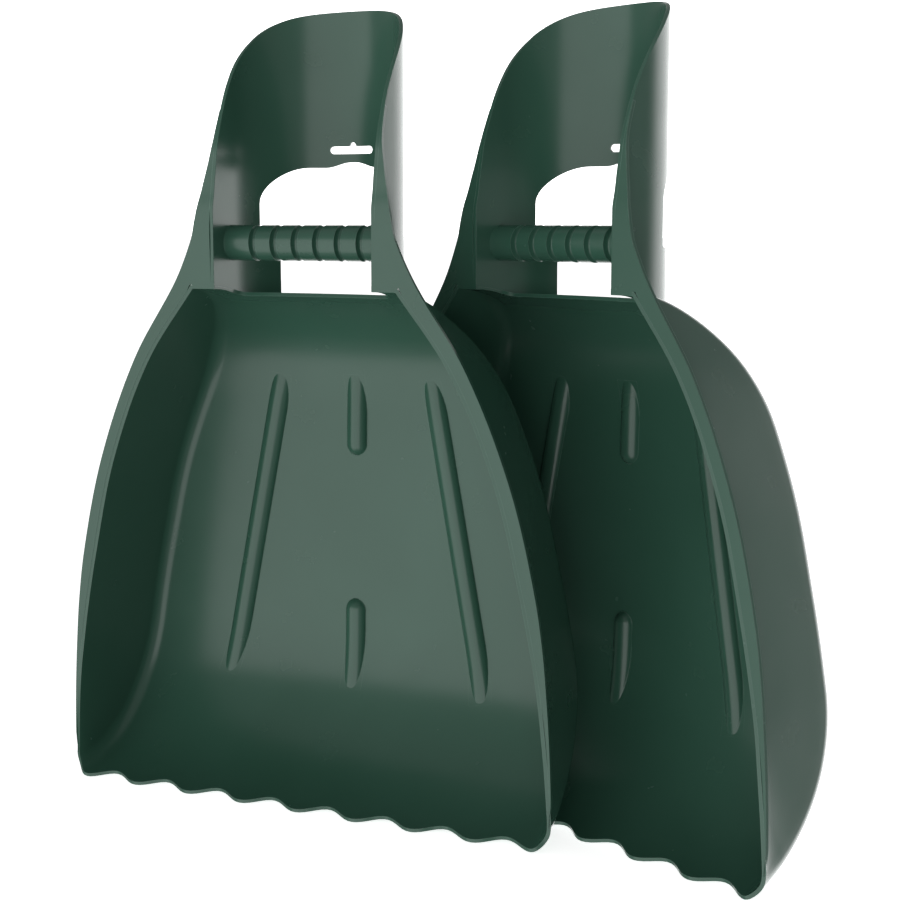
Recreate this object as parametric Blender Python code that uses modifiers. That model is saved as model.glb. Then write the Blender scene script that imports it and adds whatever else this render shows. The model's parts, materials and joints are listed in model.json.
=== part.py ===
"""Leaf grabber hands: a pair of moulded scoops, each with an arm guard and a grip bar.

Each hand is built in its own frame: X across, Y from the front rim (Y = 0) to the back, Z up
from the tips of the lip. The world origin is the centre of the left hand's hang slot.
"""
import math

import bmesh
import bpy

MM = 0.001

# Shell
WALL = 2.2 * MM
GAP = 0.3 * MM
RIM_BACK = WALL + GAP
MERGE = 0.02 * MM

# Bowl
BOWL_TOP = 300 * MM
CORNER_DEPTH = 71 * MM
MID_DEPTH_TOP = 77 * MM
MID_DEPTH_BOTTOM = 73 * MM
SIDE_DRAFT = 0.06
RIM_FILLET = 1 * MM
SIDE_FILLET = 7 * MM
LIP_FILLET = 9.5 * MM
FILLET_GROWTH = 24 * MM
LIP_HEIGHT = WALL
LIP_SLOPE = math.radians(13)
FLANGE_FOOT = 16.3 * MM
TRIM = 9 * MM
LEAST_WALL = 14 * MM
BEYOND_SIDES = 170 * MM
TOP_ROWS = 8
FLOOR_ROWS = 4
BEND_ROWS = 12
FILLET_COLUMNS = 5
FLOOR_COLUMNS = 5
SCALLOPS = 8
SCALLOP_PITCH = 37.2 * MM
TIP_REACH = -4 * MM
BAY_REACH = 3.5 * MM
CORNER_START = 155.5 * MM

# Half-widths of the front rim as (height, half-width): opening and outer edge
RIM_OPENING = [(12, 155.7), (50, 153.0), (80, 149.6), (110, 144.5), (140, 138.2), (200, 122.5),
               (260, 95.2), (300, 65.0)]
RIM_OUTSIDE = [(12, 157.9), (50, 156.7), (80, 154.8), (110, 152.0), (140, 147.3), (200, 131.7),
               (260, 105.7), (310, 73.4), (345, 59.3), (379, 52.9)]

# Floor ribs as (x, z) of one end, (x, z) of the end that fades away, and whether both ends fade
RIBS = [(0, 199, 0, 246, False), (0, 110, 0, 56, False), (87, 56, 50.5, 246, True),
        (-87, 56, -50.5, 246, True)]
RIB_HEIGHT = 4.6 * MM
RIB_CREST_HALF = 2.8 * MM
RIB_ROOT = 1.1 * MM
RIB_SINK = 0.6 * MM
RIB_TIP = 0.45
RIB_FADE = 5
RIB_ROWS = 12

# Arm guard: a trough with straight sides and a round back
TROUGH_RADIUS = 50.4 * MM
TROUGH_CENTRE = 23.4 * MM
GUARD_SEAT = 0.5 * MM
# Side view of the guard's front and top edge as (depth, height)
GUARD_EDGE = [(2.5, 345), (5.6, 363), (8.0, 377), (8.4, 388), (11, 395), (17.8, 411), (26, 425),
              (35, 436), (45, 444.5), (55, 451.5), (65, 456.3), (74, 459.5)]
FLANGE_SWEEP = [(345, 0), (355, 1.2), (363, 3.0), (379, 5.6)]
FINGER_NOTCH = 26 * MM
NOTCH_CORNER = 6 * MM
GUARD_ROWS = 3
GUARD_COLUMNS = 12

# Rear window, as half-widths and heights
WINDOW_UPPER = 46 * MM
WINDOW_LOWER = 39 * MM
WINDOW_TOP = 369.5 * MM
WINDOW_CORNER = 21 * MM
WINDOW_FOOT = 222 * MM
CURVE_STEPS = 6
BUMP_WIDTH = 22 * MM
BUMP_RISE = 3.1 * MM

# Hang slot
SLOT_HALF = 14 * MM
SLOT_LOW = 377.6 * MM
SLOT_HIGH = 382.0 * MM
SLOT_BUMP = 384.4 * MM
SLOT_BUMP_HALF = 2.1 * MM
SLOT_MIDDLE = (SLOT_LOW + SLOT_HIGH) / 2
SLOT_DEPTH = TROUGH_CENTRE + TROUGH_RADIUS

# Grip bar
GRIP_RADIUS = 10.2 * MM
GRIP_DEPTH = 21 * MM
GRIP_HEIGHT = 326 * MM
GROOVES = 6
GROOVE_FIRST = -31 * MM
GROOVE_PITCH = 13.8 * MM
GROOVE_WIDTH = 3.0 * MM
GROOVE_DEPTH = 1.0 * MM
GROOVE_FLOOR = 0.7
GRIP_SIDES = 28

# The pair
PAIR_OFFSET = (133 * MM, 41 * MM)
PAIR_TURN = math.radians(-21.6)
OPPOSED_GAP = 260 * MM
OPPOSED_SHIFT = 20 * MM

GREEN = (0.018, 0.060, 0.036, 1.0)
SHARP = math.radians(30)


def smooth_through(points):
    """Return a smooth function of position through (position, value) points, all in metres."""
    at = [p * MM for p, _ in points]
    values = [v * MM for _, v in points]
    slopes = [(values[i + 1] - values[i]) / (at[i + 1] - at[i]) for i in range(len(at) - 1)]
    tangents = [slopes[0]] + [(a + b) / 2 for a, b in zip(slopes, slopes[1:])] + [slopes[-1]]

    def value(x):
        x = min(max(x, at[0]), at[-1])
        i = 0
        while i < len(slopes) - 1 and x > at[i + 1]:
            i += 1
        width = at[i + 1] - at[i]
        t = (x - at[i]) / width
        rise = t * t * (3 - 2 * t)
        bend_in = t * (1 - t) ** 2 * tangents[i]
        bend_out = t * t * (t - 1) * tangents[i + 1]
        return values[i] * (1 - rise) + values[i + 1] * rise + width * (bend_in + bend_out)

    return value


opening_half = smooth_through(RIM_OPENING)
outside_half = smooth_through(RIM_OUTSIDE)
flange_sweep = smooth_through(FLANGE_SWEEP)


def straight_through(points):
    """Return a function of position along straight lines between (position, value) points."""
    at = [p * MM for p, _ in points]
    values = [v * MM for _, v in points]

    def value(x):
        x = min(max(x, at[0]), at[-1])
        i = 0
        while i < len(at) - 2 and x > at[i + 1]:
            i += 1
        return values[i] + (values[i + 1] - values[i]) * (x - at[i]) / (at[i + 1] - at[i])

    return value


guard_edge = straight_through(GUARD_EDGE)


def mix(a, b, t):
    return a + (b - a) * t


# ---------------------------------------------------------------- objects and modifiers

def clear_scene():
    for old in list(bpy.data.objects):
        bpy.data.objects.remove(old, do_unlink=True)


def collection(name):
    group = bpy.data.collections.new(name)
    bpy.context.scene.collection.children.link(group)
    return group


def plastic(name):
    material = bpy.data.materials.new(name)
    material.use_nodes = True
    shader = material.node_tree.nodes["Principled BSDF"]
    shader.inputs["Base Color"].default_value = GREEN
    shader.inputs["Roughness"].default_value = 0.38
    shader.inputs["Metallic"].default_value = 0.0
    return material


class Hand:
    """One hand's name, its place and the empty that it hangs from."""

    def __init__(self, name, offset, turn, pivot):
        self.name = name
        self.turn = turn
        self.anchor = bpy.data.objects.new(name + "_anchor", None)
        self.anchor.location = (pivot[0], pivot[1], 0)
        parts.objects.link(self.anchor)
        self.location = (offset[0] - pivot[0], offset[1] - pivot[1], -SLOT_MIDDLE)

    def place(self, item):
        """Put an object that is modelled in the hand's own frame where the hand is."""
        item.parent = self.anchor
        item.location = self.location
        item.rotation_euler = (0, 0, self.turn)

    def add(self, name, bm):
        """Make a named part from a bmesh."""
        mesh = bpy.data.meshes.new(f"{self.name}_{name}")
        bm.to_mesh(mesh)
        bm.free()
        item = bpy.data.objects.new(f"{self.name}_{name}", mesh)
        mesh.materials.append(plastic(f"{self.name}_{name}_plastic"))
        mesh.shade_smooth()
        mesh.set_sharp_from_angle(angle=SHARP)
        parts.objects.link(item)
        self.place(item)
        return item

    def add_cutter(self, name, bm):
        """Make a cutter from a bmesh: a guide that isn't part of the hand."""
        bmesh.ops.recalc_face_normals(bm, faces=bm.faces)
        mesh = bpy.data.meshes.new(f"{self.name}_{name}")
        bm.to_mesh(mesh)
        bm.free()
        item = bpy.data.objects.new(f"{self.name}_{name}", mesh)
        item.hide_render = True
        item.display_type = "WIRE"
        cutters.objects.link(item)
        self.place(item)
        return item


def mirror(item):
    modifier = item.modifiers.new("other half", "MIRROR")
    modifier.merge_threshold = MERGE


def thicken(item):
    modifier = item.modifiers.new("wall", "SOLIDIFY")
    modifier.thickness = WALL
    modifier.offset = -1
    modifier.use_even_offset = True


def combine(item, other, operation):
    modifier = item.modifiers.new(other.name, "BOOLEAN")
    modifier.operation = operation
    modifier.solver = "EXACT"
    modifier.object = other


def grid(rows):
    """Skin a list of rows of points, each row with the same number of points."""
    bm = bmesh.new()
    verts = [[bm.verts.new(point) for point in row] for row in rows]
    for lower, upper in zip(verts, verts[1:]):
        for i in range(len(lower) - 1):
            bm.faces.new((lower[i], lower[i + 1], upper[i + 1], upper[i]))
    bmesh.ops.remove_doubles(bm, verts=bm.verts, dist=MERGE)
    return bm


def prism(outline, axis, start, end):
    """Extrude an outline of (u, v) points along Y (u = X, v = Z) or along Z (u = X, v = Y)."""
    bm = bmesh.new()
    if axis == "Y":
        verts = [bm.verts.new((u, start, v)) for u, v in outline]
        travel = (0, end - start, 0)
    else:
        verts = [bm.verts.new((u, v, start)) for u, v in outline]
        travel = (0, 0, end - start)
    face = bm.faces.new(verts)
    moved = bmesh.ops.extrude_face_region(bm, geom=[face])["geom"]
    tops = [v for v in moved if isinstance(v, bmesh.types.BMVert)]
    bmesh.ops.translate(bm, vec=travel, verts=tops)
    return bm


# ---------------------------------------------------------------- bowl

def floor_depths(across):
    """Depth of the bowl at its top and bottom bends, at a fraction across (1 is the side)."""
    crown = 1 - across * across
    return mix(CORNER_DEPTH, MID_DEPTH_TOP, crown), mix(CORNER_DEPTH, MID_DEPTH_BOTTOM, crown)


def bottom_bend(depth):
    """Radius and centre (y, z) of the arc that brings the floor forward to the lip."""
    radius = depth / (1 - math.sin(LIP_SLOPE))
    return radius, depth - radius, LIP_HEIGHT + radius * math.cos(LIP_SLOPE)


def profile(across, step):
    """Point on the bowl's inside, at a step down its length and a fraction across.

    Steps 0 to 1 are the top's arc from front to back, 1 to 2 the flat floor and 2 to 3 the
    arc forward to the lip. Returns y, z, the unit direction (y, z) of the side wall, its height
    up to the rim, and its full height before the front is trimmed.
    """
    top, bottom = floor_depths(across)
    radius, centre_y, centre_z = bottom_bend(bottom)
    if step <= 1:
        angle = (1 - step) * math.pi / 2
        y = top * math.cos(angle)
        return y, BOWL_TOP - top + top * math.sin(angle), -1, 0, y, y + TRIM
    if step <= 2:
        y = mix(top, bottom, step - 1)
        return y, mix(BOWL_TOP - top, centre_z, step - 1), -1, 0, y, y + TRIM
    angle = (step - 2) * math.acos((-TRIM - centre_y) / radius)
    y = centre_y + radius * math.cos(angle)
    z = centre_z - radius * math.sin(angle)
    to_rim = max(0, radius + centre_y / math.cos(angle))
    in_all = max(LEAST_WALL, radius + (centre_y + TRIM) / math.cos(angle))
    return y, z, -math.cos(angle), math.sin(angle), to_rim, in_all


def fillet_radius(step, depth):
    """Radius between side wall and floor: small at the top's front edge, larger at the lip."""
    if step <= 1:
        return mix(RIM_FILLET, SIDE_FILLET, min(1, depth / FILLET_GROWTH))
    return mix(SIDE_FILLET, LIP_FILLET, max(0, step - 2))


def bowl_row(step):
    """Half of the bowl's section at a step: side wall, fillet and floor to X = 0."""
    y, z, wall_y, wall_z, to_rim, height = profile(1, step)
    side = opening_half(z + wall_z * to_rim) - SIDE_DRAFT * to_rim
    radius = fillet_radius(step, y)
    row = [(side + SIDE_DRAFT * height, y + wall_y * height, z + wall_z * height)]
    for i in range(FILLET_COLUMNS + 1):
        angle = math.pi / 2 * (1 - i / FILLET_COLUMNS)
        rise = radius * (1 - math.cos(angle))
        x = side - radius + radius * math.sin(angle) + SIDE_DRAFT * rise
        y, z, wall_y, wall_z, _, _ = profile(min(1, x / side), step)
        row.append((x, y + wall_y * rise, z + wall_z * rise))
    for i in range(1, FLOOR_COLUMNS + 1):
        x = (side - radius) * (1 - i / FLOOR_COLUMNS)
        y, z, _, _, _, _ = profile(x / side, step)
        row.append((x, y, z))
    return row


def floor_y(x, z):
    """Depth of the bowl's floor at a place on it, without the fillets."""
    side = opening_half(z) - SIDE_DRAFT * CORNER_DEPTH
    top, bottom = floor_depths(x / side)
    radius, centre_y, centre_z = bottom_bend(bottom)
    if z > BOWL_TOP - top:
        return math.sqrt(top ** 2 - (z - BOWL_TOP + top) ** 2)
    if z > centre_z:
        return mix(bottom, top, (z - centre_z) / (BOWL_TOP - top - centre_z))
    return centre_y + math.sqrt(radius ** 2 - (centre_z - z) ** 2)


def rib_rings(length, both_fade):
    """Sections of a rib as (distance along, height, half-width of crest, half-width of root)."""
    reach = RIB_CREST_HALF + RIB_HEIGHT + RIB_ROOT
    rings = []
    if not both_fade:
        for s in (-RIB_HEIGHT - RIB_SINK, -RIB_HEIGHT / 2, 0, 0.4 * RIB_CREST_HALF):
            inset = RIB_CREST_HALF - s
            crest = math.sqrt(max(0, RIB_CREST_HALF ** 2 - inset ** 2)) + GAP
            rings.append((s, RIB_HEIGHT + min(0, s), crest, math.sqrt(reach ** 2 - inset ** 2)))
    start = 0 if both_fade else RIB_CREST_HALF
    for i in range(RIB_ROWS + 1):
        t = i / RIB_ROWS
        lean = abs(2 * t - 1) if both_fade else t
        height = mix(RIB_HEIGHT, -RIB_SINK, lean ** RIB_FADE)
        crest = RIB_CREST_HALF * mix(1, RIB_TIP, lean ** 4)
        rings.append((mix(start, length, t), height, crest, crest + height + RIB_ROOT))
    return rings


def rib(x0, z0, x1, z1, both_fade):
    """A ridge on the floor with sloping flanks, rooted in the wall."""
    length = math.hypot(x1 - x0, z1 - z0)
    along = ((x1 - x0) / length, (z1 - z0) / length)
    bm = bmesh.new()
    rings = []
    for s, height, crest, root in rib_rings(length, both_fade):
        x = x0 + along[0] * s
        z = z0 + along[1] * s
        y = floor_y(x, z)
        section = [(-root, RIB_ROOT), (-crest, -height), (crest, -height), (root, RIB_ROOT)]
        rings.append([bm.verts.new((x + u * along[1], y + v, z - u * along[0]))
                      for u, v in section])
    for lower, upper in zip(rings, rings[1:]):
        for k in range(4):
            bm.faces.new((lower[k], lower[(k + 1) % 4], upper[(k + 1) % 4], upper[k]))
    bm.faces.new(rings[0])
    bm.faces.new(rings[-1])
    return bm


def lip_outline():
    """What is cut away in front of the lip, seen from above: bays between rounded tips."""
    half = SCALLOP_PITCH * SCALLOPS / 2
    steps = 10 * SCALLOPS
    front = -2 * TRIM
    outline = [(-BEYOND_SIDES, front), (-BEYOND_SIDES, 0), (-CORNER_START, 0)]
    for i in range(steps + 1):
        bay = (1 - math.cos(2 * math.pi * i * SCALLOPS / steps)) / 2
        outline.append((mix(-half, half, i / steps), mix(TIP_REACH, BAY_REACH, bay)))
    return outline + [(CORNER_START, 0), (BEYOND_SIDES, 0), (BEYOND_SIDES, front)]


def seat_outline():
    """What is cut away for the flanges, seen from above, with the notch for the fingers."""
    half = [(BEYOND_SIDES, -2 * TRIM), (BEYOND_SIDES, RIM_BACK), (TROUGH_RADIUS, RIM_BACK)]
    for i in range(CURVE_STEPS):
        angle = math.pi / 2 * i / (CURVE_STEPS - 1)
        half.append((TROUGH_RADIUS - NOTCH_CORNER * (1 - math.cos(angle)),
                     FINGER_NOTCH - NOTCH_CORNER * (1 - math.sin(angle))))
    return half + [(-x, y) for x, y in reversed(half)]


def add_bowl(hand):
    steps = [i / TOP_ROWS for i in range(TOP_ROWS)]
    steps += [1 + i / FLOOR_ROWS for i in range(FLOOR_ROWS)]
    steps += [2 + i / BEND_ROWS for i in range(BEND_ROWS + 1)]
    bowl = hand.add("bowl", grid([bowl_row(step) for step in steps]))
    mirror(bowl)
    thicken(bowl)
    for number, (x0, z0, x1, z1, both_fade) in enumerate(RIBS, 1):
        ridge = rib(x0 * MM, z0 * MM, x1 * MM, z1 * MM, both_fade)
        combine(bowl, hand.add_cutter(f"rib_{number}", ridge), "UNION")
    lip = prism(lip_outline(), "Z", -TRIM, FLANGE_FOOT + TRIM)
    combine(bowl, hand.add_cutter("lip_trim", lip), "DIFFERENCE")
    seat = prism(seat_outline(), "Z", FLANGE_FOOT - GAP, BOWL_TOP + 2 * TRIM)
    combine(bowl, hand.add_cutter("flange_seat", seat), "DIFFERENCE")


# ---------------------------------------------------------------- flanges

def add_flange(hand, name, side):
    """The flat front flange of one side: from the lip's corner to where it tapers out."""
    shoulder = BOWL_TOP
    low = [mix(FLANGE_FOOT, shoulder, i / 16) for i in range(17)]
    high = [mix(shoulder, RIM_OUTSIDE[-1][0] * MM, i / 9) for i in range(1, 10)]
    bm = bmesh.new()

    def vertex(x, z):
        return bm.verts.new((side * x, flange_sweep(z), z))

    bowl_edge = [vertex(opening_half(z), z) for z in low]
    outer = [vertex(outside_half(z), z) for z in low + high]
    trough_edge = [vertex(TROUGH_RADIUS, z) for z in [shoulder] + high]
    middle = [bowl_edge[-1]] + [vertex(mix(TROUGH_RADIUS, outside_half(z), 0.5), z) for z in high]
    last = len(low) - 1
    strips = [(bowl_edge, outer[:last + 1]), (middle, outer[last:]), (trough_edge, middle)]
    for inside, outside in strips:
        for i in range(len(inside) - 1):
            corners = [inside[i], outside[i], outside[i + 1], inside[i + 1]]
            bm.faces.new(corners if side > 0 else corners[::-1])
    thicken(hand.add(name, bm))


# ---------------------------------------------------------------- arm guard

def guard_foot(x, y):
    """Height where the guard meets the outside of the bowl's top."""
    z = 280 * MM
    for _ in range(6):
        side = opening_half(z) - SIDE_DRAFT * CORNER_DEPTH
        top, _ = floor_depths(min(1, x / side))
        reach = top + WALL + GUARD_SEAT
        z = BOWL_TOP - top + math.sqrt(max(0, reach ** 2 - y ** 2))
    return z


def guard_column(x, y):
    foot = guard_foot(x, y)
    head = guard_edge(y)
    return [(x, y, mix(foot, head, i / GUARD_ROWS)) for i in range(GUARD_ROWS + 1)]


def window_outline():
    """Rear opening seen from the front, right half first: straight sides and a rounded top."""
    bar = GRIP_HEIGHT
    half = [(WINDOW_LOWER, WINDOW_FOOT), (WINDOW_LOWER, bar), (WINDOW_UPPER, bar)]
    for i in range(CURVE_STEPS):
        angle = math.pi / 2 * i / (CURVE_STEPS - 1)
        half.append((WINDOW_UPPER - WINDOW_CORNER * (1 - math.cos(angle)),
                     WINDOW_TOP - WINDOW_CORNER * (1 - math.sin(angle))))
    for i in range(CURVE_STEPS):
        t = i / CURVE_STEPS
        half.append((BUMP_WIDTH / 2 * (1 - t), WINDOW_TOP + BUMP_RISE * math.sin(math.pi / 2 * t)))
    peak = [(0, WINDOW_TOP + BUMP_RISE)]
    return half + peak + [(-x, z) for x, z in reversed(half)]


def slot_outline():
    """Hang slot: round ends and a small rise in the middle for the peg."""
    radius = (SLOT_HIGH - SLOT_LOW) / 2
    half = []
    for i in range(CURVE_STEPS + 1):
        angle = math.pi * i / CURVE_STEPS - math.pi / 2
        half.append((SLOT_HALF - radius + radius * math.cos(angle),
                     SLOT_LOW + radius + radius * math.sin(angle)))
    for i in range(CURVE_STEPS // 2):
        angle = math.pi * i / CURVE_STEPS
        half.append((SLOT_BUMP_HALF * math.cos(angle),
                     SLOT_HIGH + (SLOT_BUMP - SLOT_HIGH) * math.sin(angle)))
    return half + [(0, SLOT_BUMP)] + [(-x, z) for x, z in reversed(half)]


def add_arm_guard(hand):
    fronts = [y * MM for y, _ in GUARD_EDGE[:6]]
    path = [(TROUGH_RADIUS, y) for y in fronts]
    for i in range(GUARD_COLUMNS + 1):
        angle = math.pi / 2 * i / GUARD_COLUMNS
        path.append((TROUGH_RADIUS * math.cos(angle), TROUGH_CENTRE + TROUGH_RADIUS * math.sin(angle)))
    path[-1] = (0, path[-1][1])
    guard = hand.add("arm_guard", grid([guard_column(x, y) for x, y in path]))
    mirror(guard)
    thicken(guard)
    window = prism(window_outline(), "Y", 30 * MM, 90 * MM)
    combine(guard, hand.add_cutter("window", window), "DIFFERENCE")
    slot = prism(slot_outline(), "Y", 60 * MM, 90 * MM)
    combine(guard, hand.add_cutter("hang_slot", slot), "DIFFERENCE")


# ---------------------------------------------------------------- grip bar

def add_grip_bar(hand):
    """A round bar with shallow grooves, turned about its own axis between the guard's sides."""
    back = GRIP_DEPTH + GRIP_RADIUS - TROUGH_CENTRE
    end = math.sqrt(TROUGH_RADIUS ** 2 - back ** 2) - 1.5 * GAP
    outline = [(0, end), (GRIP_RADIUS, end)]
    for i in range(GROOVES):
        middle = -GROOVE_FIRST - i * GROOVE_PITCH
        for offset, depth in ((1, 0), (GROOVE_FLOOR, 1), (-GROOVE_FLOOR, 1), (-1, 0)):
            outline.append((GRIP_RADIUS - depth * GROOVE_DEPTH, middle + offset * GROOVE_WIDTH / 2))
    outline += [(GRIP_RADIUS, -end), (0, -end)]
    bm = bmesh.new()
    verts = [bm.verts.new((r, 0, along)) for r, along in outline]
    for pair in zip(verts, verts[1:]):
        bm.edges.new(pair)
    bar = hand.add("grip_bar", bm)
    screw = bar.modifiers.new("turned", "SCREW")
    screw.axis = "Z"
    screw.steps = GRIP_SIDES
    screw.render_steps = GRIP_SIDES
    screw.use_merge_vertices = True
    screw.merge_threshold = MERGE
    turn = hand.turn
    bar.location = (bar.location[0] - GRIP_DEPTH * math.sin(turn),
                    bar.location[1] + GRIP_DEPTH * math.cos(turn),
                    bar.location[2] + GRIP_HEIGHT)
    bar.rotation_euler = (0, math.pi / 2, turn)


# ---------------------------------------------------------------- the pair

def swing_axis():
    """Upright axis that carries the right hand from its place to face the left hand."""
    half_turn = -(math.pi + PAIR_TURN) / 2
    start = PAIR_OFFSET
    finish = (OPPOSED_SHIFT, -OPPOSED_GAP)
    pull = 0.5 / math.tan(half_turn)
    dx = finish[0] - start[0]
    dy = finish[1] - start[1]
    return (start[0] + finish[0]) / 2 - pull * dy, (start[1] + finish[1]) / 2 + pull * dx


def add_hand(hand, left_flange, right_flange):
    add_bowl(hand)
    add_flange(hand, left_flange, -1)
    add_flange(hand, right_flange, 1)
    add_arm_guard(hand)
    add_grip_bar(hand)


clear_scene()
parts = collection("leaf_grabber_hands")
cutters = collection("cutters")
axis_x, axis_y = swing_axis()
home = (0, -SLOT_DEPTH)
add_hand(Hand("left", home, 0, home), "outer_flange", "inner_flange")
right_place = (PAIR_OFFSET[0], PAIR_OFFSET[1] - SLOT_DEPTH)
add_hand(Hand("right", right_place, PAIR_TURN, (axis_x, axis_y - SLOT_DEPTH)),
         "inner_flange", "outer_flange")
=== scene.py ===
"""Looks of the leaf grabber hands: two moulded scoops, built as fine shells around the CAD frame.

Each hand is modelled once in its own frame (X across, Y from the front rim to the back, Z up from
the tips of the lip) and placed where the record's flange mounts say that the hand is.
"""

import json
import math

import bmesh
import bpy
from mathutils import Matrix, Vector
from mathutils.geometry import delaunay_2d_cdt


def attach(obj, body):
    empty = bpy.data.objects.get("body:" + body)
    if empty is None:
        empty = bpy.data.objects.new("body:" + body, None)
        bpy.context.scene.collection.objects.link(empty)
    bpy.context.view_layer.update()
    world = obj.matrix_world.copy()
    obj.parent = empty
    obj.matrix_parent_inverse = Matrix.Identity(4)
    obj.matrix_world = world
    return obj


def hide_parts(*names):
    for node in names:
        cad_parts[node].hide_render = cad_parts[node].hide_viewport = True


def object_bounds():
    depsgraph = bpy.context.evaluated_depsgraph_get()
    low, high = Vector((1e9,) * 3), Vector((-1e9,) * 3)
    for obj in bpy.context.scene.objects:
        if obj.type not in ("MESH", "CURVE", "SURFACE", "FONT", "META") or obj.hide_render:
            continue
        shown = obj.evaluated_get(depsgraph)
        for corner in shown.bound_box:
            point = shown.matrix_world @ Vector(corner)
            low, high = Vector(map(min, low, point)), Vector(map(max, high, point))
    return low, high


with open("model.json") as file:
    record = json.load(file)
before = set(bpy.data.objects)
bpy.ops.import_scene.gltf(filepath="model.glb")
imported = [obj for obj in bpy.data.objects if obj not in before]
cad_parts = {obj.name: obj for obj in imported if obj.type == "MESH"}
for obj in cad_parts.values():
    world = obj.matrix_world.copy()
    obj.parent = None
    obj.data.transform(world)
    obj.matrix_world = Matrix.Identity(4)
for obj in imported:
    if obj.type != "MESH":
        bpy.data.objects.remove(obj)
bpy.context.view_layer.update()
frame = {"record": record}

MM = 0.001
WALL = 2.2 * MM
EDGE_ROUND = 0.55 * MM
EDGE_SEGMENTS = 3
SHARP_ANGLE = math.radians(50)
SMOOTH_ANGLE = math.radians(38)
MERGE_STEP = 0.004 * MM

# Bowl
BOWL_TOP = 300 * MM
CORNER_DEPTH = 71 * MM
MID_DEPTH_TOP = 77 * MM
MID_DEPTH_BOTTOM = 73 * MM
SIDE_DRAFT = 0.06
RIM_FILLET = 1 * MM
SIDE_FILLET = 7 * MM
LIP_FILLET = 9.5 * MM
FILLET_GROWTH = 24 * MM
LIP_HEIGHT = WALL
LIP_SLOPE = math.radians(13)
CORNER_WALL = 12.5 * MM
SCALLOPS = 8
SCALLOP_PITCH = 37.2 * MM
TIP_REACH = -4 * MM
BAY_REACH = 3.5 * MM
CORNER_START = 155.5 * MM
NOTCH_DEPTH = 26 * MM
NOTCH_CORNER = 6 * MM

# Half-widths of the front rim's opening and of its outer edge, as (height, half-width) in mm
RIM_OPENING = [(12, 155.7), (50, 153.0), (80, 149.6), (110, 144.5), (140, 138.2), (200, 122.5),
               (260, 95.2), (300, 65.0)]
RIM_OUTSIDE = [(12, 157.9), (50, 156.7), (80, 154.8), (110, 152.0), (140, 147.3), (200, 131.7),
               (260, 105.7), (310, 73.4), (345, 59.3), (365, 55.8), (385, 53.7), (403, 52.7)]
FLANGE_TOP = 401 * MM
FLANGE_FOOT = 13 * MM
FLANGE_MERGE = 28 * MM
FLANGE_TUCK = 1.3 * MM
# The flange laps this far into a wall, and is never narrower than this
FLANGE_LAP = 0.03 * MM
FLANGE_LEAST = 0.05 * MM
FLANGE_LOW_ROWS = 70
FLANGE_HIGH_ROWS = 30
FLANGE_COLUMNS = 3
SHOULDER_COLUMNS = 4

# Floor ribs in mm: (x, z) of one end, (x, z) of an end that fades, and whether both ends fade
RIBS = [(0, 198, 0, 247, False), (0, 109.5, 0, 55, False), (87, 56, 50.5, 246, True),
        (-87, 56, -50.5, 246, True)]
RIB_HEIGHT = 5.0 * MM
RIB_HALF = 6.8 * MM
RIB_SINK = 0.15 * MM
RIB_ROOT = 1.2 * MM
RIB_NARROWING = 0.35
RIB_ROUNDNESS = 0.7
RIB_MARGIN = 0.4 * MM
RIB_STEP = 0.8 * MM
RIB_SIDES = 36
RIB_SMOOTH_ANGLE = math.radians(60)

# Arm guard
TROUGH_RADIUS = 50.4 * MM
TROUGH_CENTRE = 23.4 * MM
# Distance round the trough from the middle of its back to where its sides begin, and to the front
TROUGH_QUARTER = math.pi / 2 * TROUGH_RADIUS
TROUGH_REACH = TROUGH_QUARTER + TROUGH_CENTRE
# The front edge of the guard and the flange above the bowl, as (height, depth) in mm
FRONT_SWEEP = [(300, 0), (345, 0), (355, 1.9), (363, 3.1), (371, 4.5), (379, 5.8), (387, 7.9),
               (395, 10.7), (403, 13.8), (411, 17.4), (419, 22.0), (427, 27.4), (435, 34.2),
               (443, 42.3)]
# The guard's top edge, as (depth, height) in mm
TOP_EDGE = [(34.2, 435), (42.3, 443), (48, 447.7), (53.5, 451.4), (60, 454.9), (65.1, 457.0),
            (69.2, 458.3), (72, 459.0), (73.8, 459.4)]
SWEEP_START = 345 * MM
SWEEP_END = 443 * MM
# The guard's foot sinks by this share of the ceiling's wall, and is found in a few turns
GUARD_FOOT_SINK = 0.55
FOOT_GUESS = 280 * MM
FOOT_TURNS = 8
GUARD_EDGE_ROUND = 0.5 * MM
# The guard's edges are rounded above CEILING_CLEAR, its front ones beside the flange only above
# FLANGE_WIDE_TO
CEILING_CLEAR = 303.5 * MM
FLANGE_WIDE_TO = 378 * MM
# The grid of points inside the guard's outline, in distance round and height
GUARD_COLUMNS = 84
GUARD_ROWS = 70
GUARD_LOW = 270 * MM
GUARD_HIGH = 460 * MM
OUTLINE_CLEARANCE = 1.3 * MM
SLOT_CLEARANCE = 0.9 * MM
WINDOW_UPPER = 46 * MM
WINDOW_LOWER = 39 * MM
WINDOW_TOP = 369.5 * MM
WINDOW_CORNER = 21 * MM
WINDOW_STEP = 2 * MM
WINDOW_SPACING = 1.6 * MM
# The raised middle of the window's top
BUMP_HALF = 16.5 * MM
BUMP_FLAT = 2.2 * MM
BUMP_RISE = 3.1 * MM
BUMP_STEEPNESS = 1.15
BUMP_STEPS = 12
SLOT_HALF = 14 * MM
SLOT_LOW = 377.6 * MM
SLOT_HIGH = 382.0 * MM
SLOT_BUMP = 384.4 * MM
SLOT_BUMP_HALF = 2.1 * MM
SLOT_BUMP_FOOT = 0.6 * MM
SLOT_SPACING = 1.2 * MM

# Grip bar
GRIP_RADIUS = 10.2 * MM
GRIP_DEPTH = 21 * MM
GRIP_HEIGHT = 326 * MM
GROOVES = 6
GROOVE_FIRST = -31.9 * MM
GROOVE_PITCH = 13.8 * MM
GROOVE_HALF = 2.0 * MM
GROOVE_DEPTH = 3.2 * MM
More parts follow.
